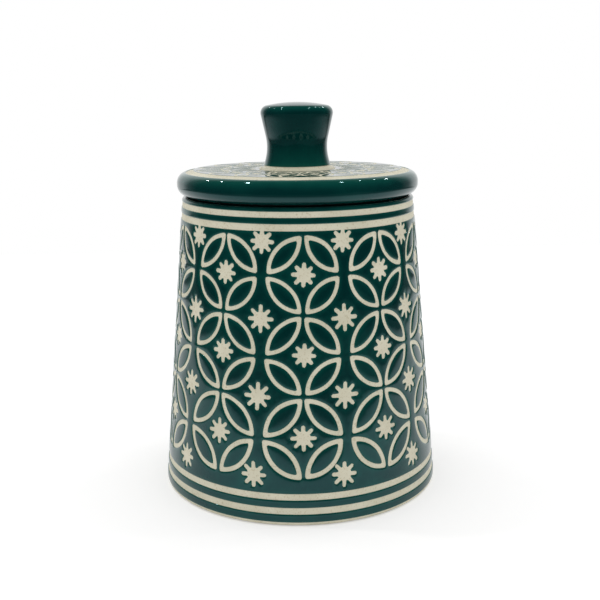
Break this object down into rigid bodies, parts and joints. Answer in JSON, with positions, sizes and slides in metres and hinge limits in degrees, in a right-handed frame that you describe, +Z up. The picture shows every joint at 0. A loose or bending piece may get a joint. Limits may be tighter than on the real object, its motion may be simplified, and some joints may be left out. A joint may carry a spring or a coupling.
{
  "type": "olive jar",
  "caption": "Lidded ceramic jar with tapered wall, waisted knob, silicone lid ring, and thick green glaze broken by bare-clay stripes, petal outlines and stars.",
  "frame": {"origin": "centre of the foot, on the surface that the jar stands on", "axes": "+Z up along the jar's axis, towards the knob; -Y is the front of the pattern, with a column of stars"},
  "size_m": [0.1197, 0.1198, 0.1628],
  "materials": {
    "clay": "matt unglazed sandy stoneware with fine specks",
    "green_glaze": "deep teal green, thick and very glossy",
    "silicone": "dark grey silicone, satin"
  },
  "bodies": {
    "jar": {"jar_body": "clay", "jar_glaze": "green_glaze", "field_glaze": "green_glaze", "petal_glaze": "green_glaze"},
    "seal": {"seal_ring": "silicone"},
    "lid": {"lid_plate": "clay", "lid_glaze": "green_glaze", "knob": "clay", "knob_glaze": "green_glaze"}
  },
  "joints": [
    {"name": "lid_lift", "type": "slide", "parent": "jar", "child": "seal", "axis": [0, 0, 1], "range_m": [0, 0.1]},
    {"name": "lid_turn", "type": "hinge", "parent": "seal", "child": "lid", "pos_m": [0, 0, 0.1246], "axis": [0, 0, 1], "continuous": true}
  ]
}
